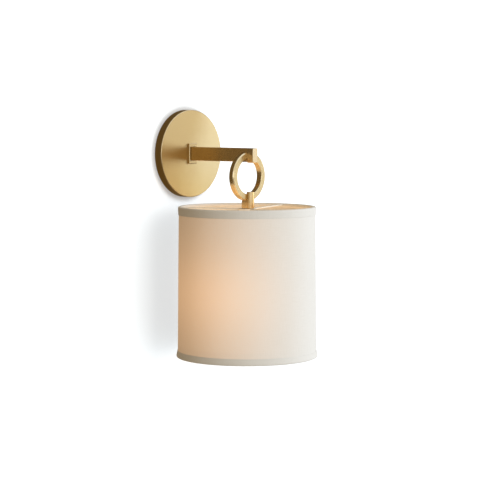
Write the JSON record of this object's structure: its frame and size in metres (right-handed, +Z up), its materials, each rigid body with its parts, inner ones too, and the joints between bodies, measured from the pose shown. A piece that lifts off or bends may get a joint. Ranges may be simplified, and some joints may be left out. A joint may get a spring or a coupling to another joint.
{
  "type": "wall light",
  "caption": "Brass wall light with a round backplate, flat arm, ring and short stem that carry a fabric drum shade on a spider over a screw-in lamp",
  "frame": {"origin": "On the wall plane, behind the centre of the round backplate, midway between the two slots of the wall bracket.", "axes": "+Z is up. +Y points into the wall, so the arm and the shade stand out along -Y. +X is to the right seen from the room."},
  "size_m": [0.1924, 0.2112, 0.3349],
  "materials": {
    "brass": "satin brushed brass",
    "steel": "zinc-plated steel",
    "green_screw": "green-lacquered screw",
    "white_moulding": "moulded nylon",
    "black_moulding": "moulded phenolic",
    "sleeve": "vulcanised fibre",
    "contact_brass": "bright stamped brass",
    "lead_dark": "wire insulation",
    "lead_white": "wire insulation",
    "white_wire": "white enamelled wire",
    "shade_cloth": "woven off-white cloth",
    "shade_backing": "white styrene backing sheet",
    "trim_tape": "folded cloth tape",
    "bulb_glass": "frosted glass",
    "mount_glass": "clear glass",
    "bulb_metal": "bright aluminium",
    "filament": "tungsten wire"
  },
  "bodies": {
    "fixture": {"backplate": "brass", "wall_bracket": "steel", "rim_screws": "brass", "ground_screw": "green_screw", "terminal_block": "white_moulding", "terminal_block_screws": "steel", "arm_screws": "steel", "arm": "brass", "arm_end_block": "brass", "arm_pins": "steel", "arm_collar": "brass", "ring_lock_screw": "brass", "ring": "brass", "ring_cover": "brass", "stem": "brass", "stem_pins": "steel", "lamp_pipe": "steel", "hub_nut": "brass", "socket_cap": "brass", "socket_shell": "brass", "socket_sleeve": "sleeve", "socket_interior": "black_moulding", "screw_shell": "contact_brass", "centre_contact": "contact_brass", "socket_terminals": "contact_brass", "lead_right": "lead_dark", "lead_left": "lead_white"},
    "shade": {"spider": "white_wire", "top_wire": "white_wire", "bottom_wire": "white_wire", "shade_fabric": "shade_cloth", "shade_liner": "shade_backing", "shade_seam": "shade_cloth", "top_trim": "trim_tape", "bottom_trim": "trim_tape"},
    "bulb": {"bulb_glass": "bulb_glass", "bulb_cap": "bulb_metal", "bulb_insulator": "black_moulding", "bulb_tip": "bulb_metal", "bulb_mount": "mount_glass", "bulb_filament": "filament"}
  },
  "joints": [
    {"name": "shade_turn", "type": "hinge", "parent": "fixture", "child": "shade", "pos_m": [0, -0.115, -0.0734], "axis": [0, 0, 1], "continuous": true},
    {"name": "bulb_withdrawal", "type": "slide", "parent": "fixture", "child": "bulb", "axis": [0, 0, -1], "range_m": [0, 0.17]}
  ]
}
